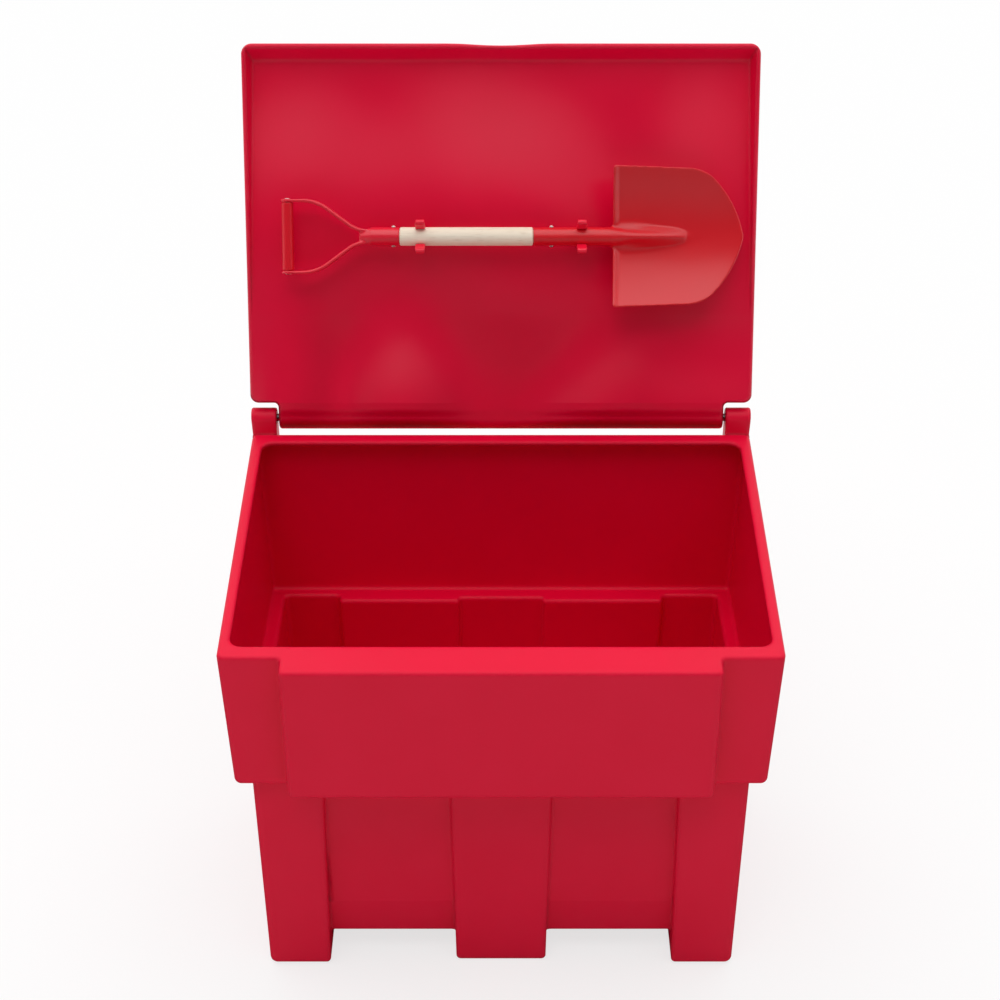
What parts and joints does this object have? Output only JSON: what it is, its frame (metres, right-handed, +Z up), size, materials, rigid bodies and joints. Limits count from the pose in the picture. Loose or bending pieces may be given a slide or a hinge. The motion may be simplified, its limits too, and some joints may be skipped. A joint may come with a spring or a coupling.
{
  "type": "grit salt bin",
  "caption": "Free-standing moulded grit and salt bin with a flared collar, feet with fork tunnels, a hollow hinged lid on a steel rod and a shovel clipped inside the lid.",
  "frame": {"origin": "on the floor, in the middle of the underside of the tub's centre runner", "axes": "+Z up, +Y to the hinge side at the back, +X to the right as seen from the front; the lid stands open"},
  "size_m": [0.7866, 0.7784, 1.2299],
  "materials": {
    "bin_plastic": "semi-gloss smooth moulded, red",
    "shovel_plastic": "semi-gloss moulded, warm red",
    "clip_plastic": "satin moulded, dark red",
    "shaft_wood": "turned and sanded pale hardwood",
    "rod_steel": "plain bright drawn",
    "rivet_steel": "bright zinc plated"
  },
  "bodies": {
    "tub": {"tub": "bin_plastic", "hinge_rod": "rod_steel", "rod_end_plugs": "bin_plastic"},
    "lid": {"lid": "bin_plastic", "left_shovel_clip": "clip_plastic", "right_shovel_clip": "clip_plastic", "clip_screws": "rivet_steel"},
    "shovel": {"shovel_blade": "shovel_plastic", "shovel_shaft": "shaft_wood", "socket_rivet": "rivet_steel", "handle_yoke": "shovel_plastic", "yoke_rivet": "rivet_steel", "handle_grip": "shovel_plastic", "grip_rivet": "rivet_steel"}
  },
  "joints": [
    {"name": "lid_hinge", "type": "hinge", "parent": "tub", "child": "lid", "pos_m": [0, 0.277, 0.68671], "axis": [1, 0, 0], "range_deg": [0, 116.3]},
    {"name": "shovel_slide", "type": "slide", "parent": "lid", "child": "shovel", "axis": [0, -0.9185, 0.3953], "range_m": [0, 0.16], "deforming": ["left_shovel_clip", "right_shovel_clip"]}
  ]
}
